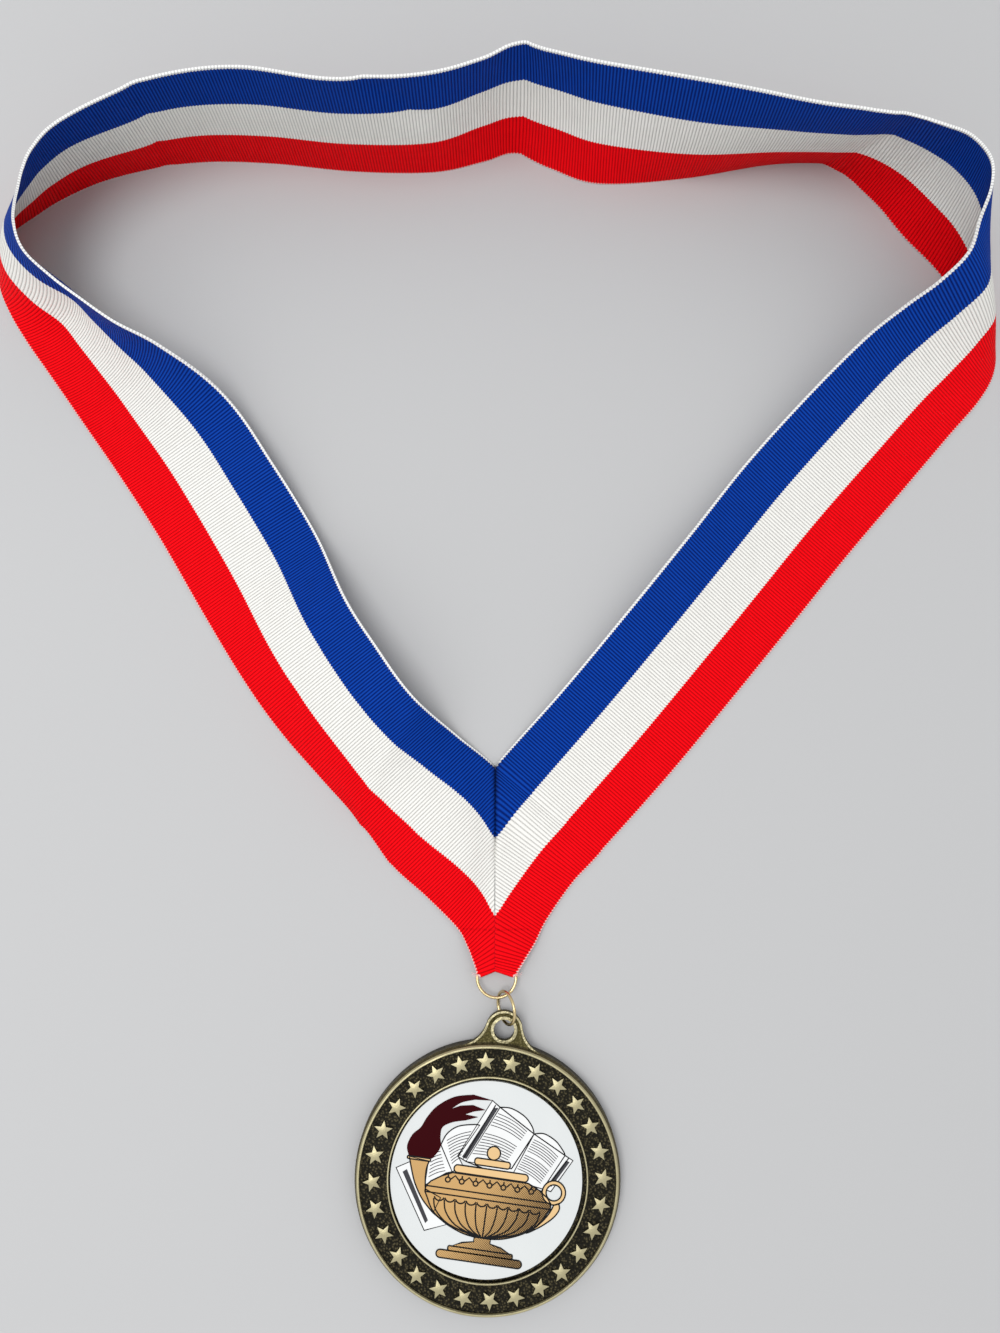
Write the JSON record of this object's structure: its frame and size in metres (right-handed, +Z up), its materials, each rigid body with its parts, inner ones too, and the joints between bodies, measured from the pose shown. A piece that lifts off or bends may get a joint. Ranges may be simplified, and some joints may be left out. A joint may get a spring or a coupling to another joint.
{
  "type": "academic medallion",
  "caption": "Round cast medallion with a starred band and a printed insert, hung by two wire rings on a striped neck ribbon that lies open in a loop.",
  "frame": {"origin": "middle of the medallion's flat back, on the surface that it lies on", "axes": "+Z up, out of the medallion's face; +Y from the medallion towards the ribbon's loop; +X to the right when the face is seen with the ribbon at the top"},
  "size_m": [0.2775, 0.3156, 0.0383],
  "materials": {
    "antique_brass": "antique, dark in the recesses, bright on the ridges",
    "printed_insert": "satin print",
    "ring_wire": "polished",
    "grosgrain": "ribbed, in red, white and blue stripes"
  },
  "bodies": {
    "root": {"medal": "antique_brass", "insert_disc": "printed_insert", "link_ring": "ring_wire", "ribbon_ring": "ring_wire", "ribbon": "grosgrain"}
  },
  "joints": []
}
